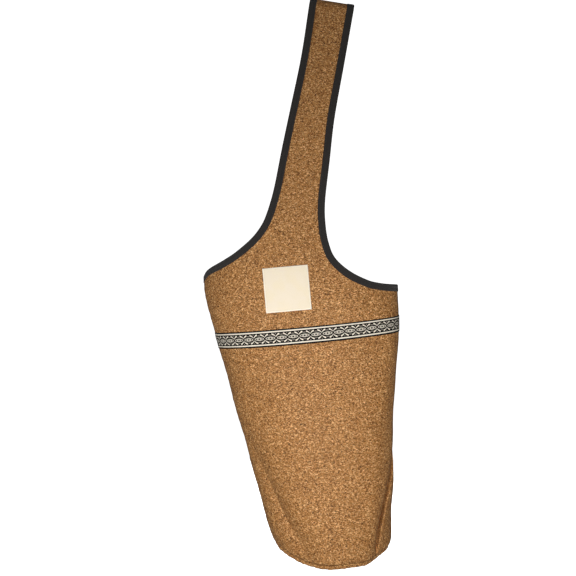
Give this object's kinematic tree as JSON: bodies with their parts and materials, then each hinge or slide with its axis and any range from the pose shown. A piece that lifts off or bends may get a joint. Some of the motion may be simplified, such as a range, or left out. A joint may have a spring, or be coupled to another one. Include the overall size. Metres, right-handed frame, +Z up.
{
  "type": "yoga mat bag",
  "caption": "Sling bag for a rolled yoga mat: an oval-based cork cloth body whose front and back narrow into one shoulder strap, with bound edges, a ribbon band and a bare label.",
  "frame": {"origin": "the point at the middle of the strap's inner face, at its highest, where the strap lies on a hook or a shoulder", "axes": "+Z up, +Y from the front panel to the back panel, +X to the right as seen from the front"},
  "size_m": [0.2699, 0.1308, 0.7691],
  "materials": {
    "cork_cloth": "thin cork sheet on a cloth backing, fine brown and pale flecks, low sheen",
    "edge_tape": "charcoal woven tape, matt",
    "woven_ribbon": "black and cream jacquard ribbon, slightly shiny thread",
    "label_cloth": "plain cream woven label, matt"
  },
  "bodies": {
    "root": {"front_panel": "cork_cloth", "back_panel": "cork_cloth", "base_panel": "cork_cloth", "left_edge_tape": "edge_tape", "right_edge_tape": "edge_tape", "front_ribbon": "woven_ribbon", "back_ribbon": "woven_ribbon", "front_label": "label_cloth"}
  },
  "joints": []
}
